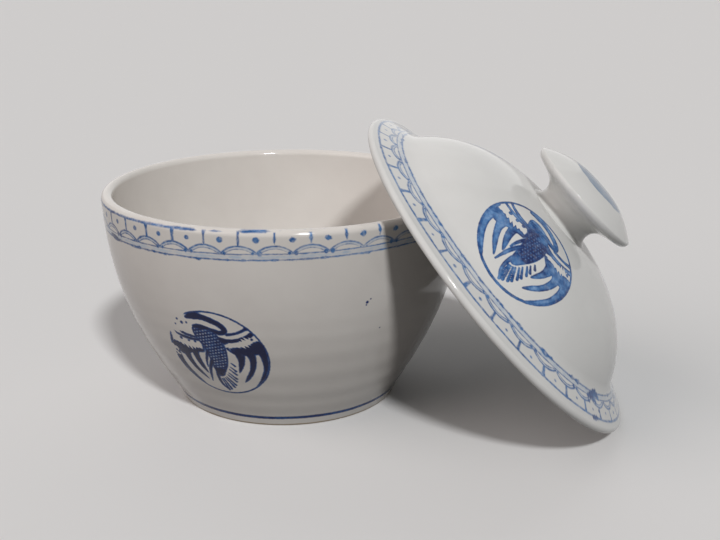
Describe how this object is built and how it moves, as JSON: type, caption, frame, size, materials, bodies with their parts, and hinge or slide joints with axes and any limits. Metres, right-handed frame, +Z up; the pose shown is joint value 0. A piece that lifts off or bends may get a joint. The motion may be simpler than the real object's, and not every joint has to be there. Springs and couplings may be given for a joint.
{
  "type": "covered bowl",
  "caption": "Deep glazed ceramic bowl on a foot ring, with a domed, flanged cover and disc knob; the cover stands on its edge and leans on the bowl's rim.",
  "frame": {"origin": "on the table, under the middle of the box that holds the bowl and the leaning cover", "axes": "+X the way the cover leans back from the bowl, +Z up, so that the bowl stands at -X and the cover at +X"},
  "size_m": [0.2162, 0.166, 0.1173],
  "materials": {
    "bowl_glaze": "clear gloss glaze over a white body, with underglaze blue ornament",
    "cover_glaze": "clear gloss glaze over a white body, with underglaze blue ornament"
  },
  "bodies": {
    "bowl": {"bowl": "bowl_glaze"},
    "cover": {"cover": "cover_glaze", "knob": "cover_glaze"}
  },
  "joints": [
    {"name": "cover_lift", "type": "slide", "parent": "bowl", "child": "cover", "axis": [0, 0, 1], "range_m": [0, 0.11]}
  ]
}
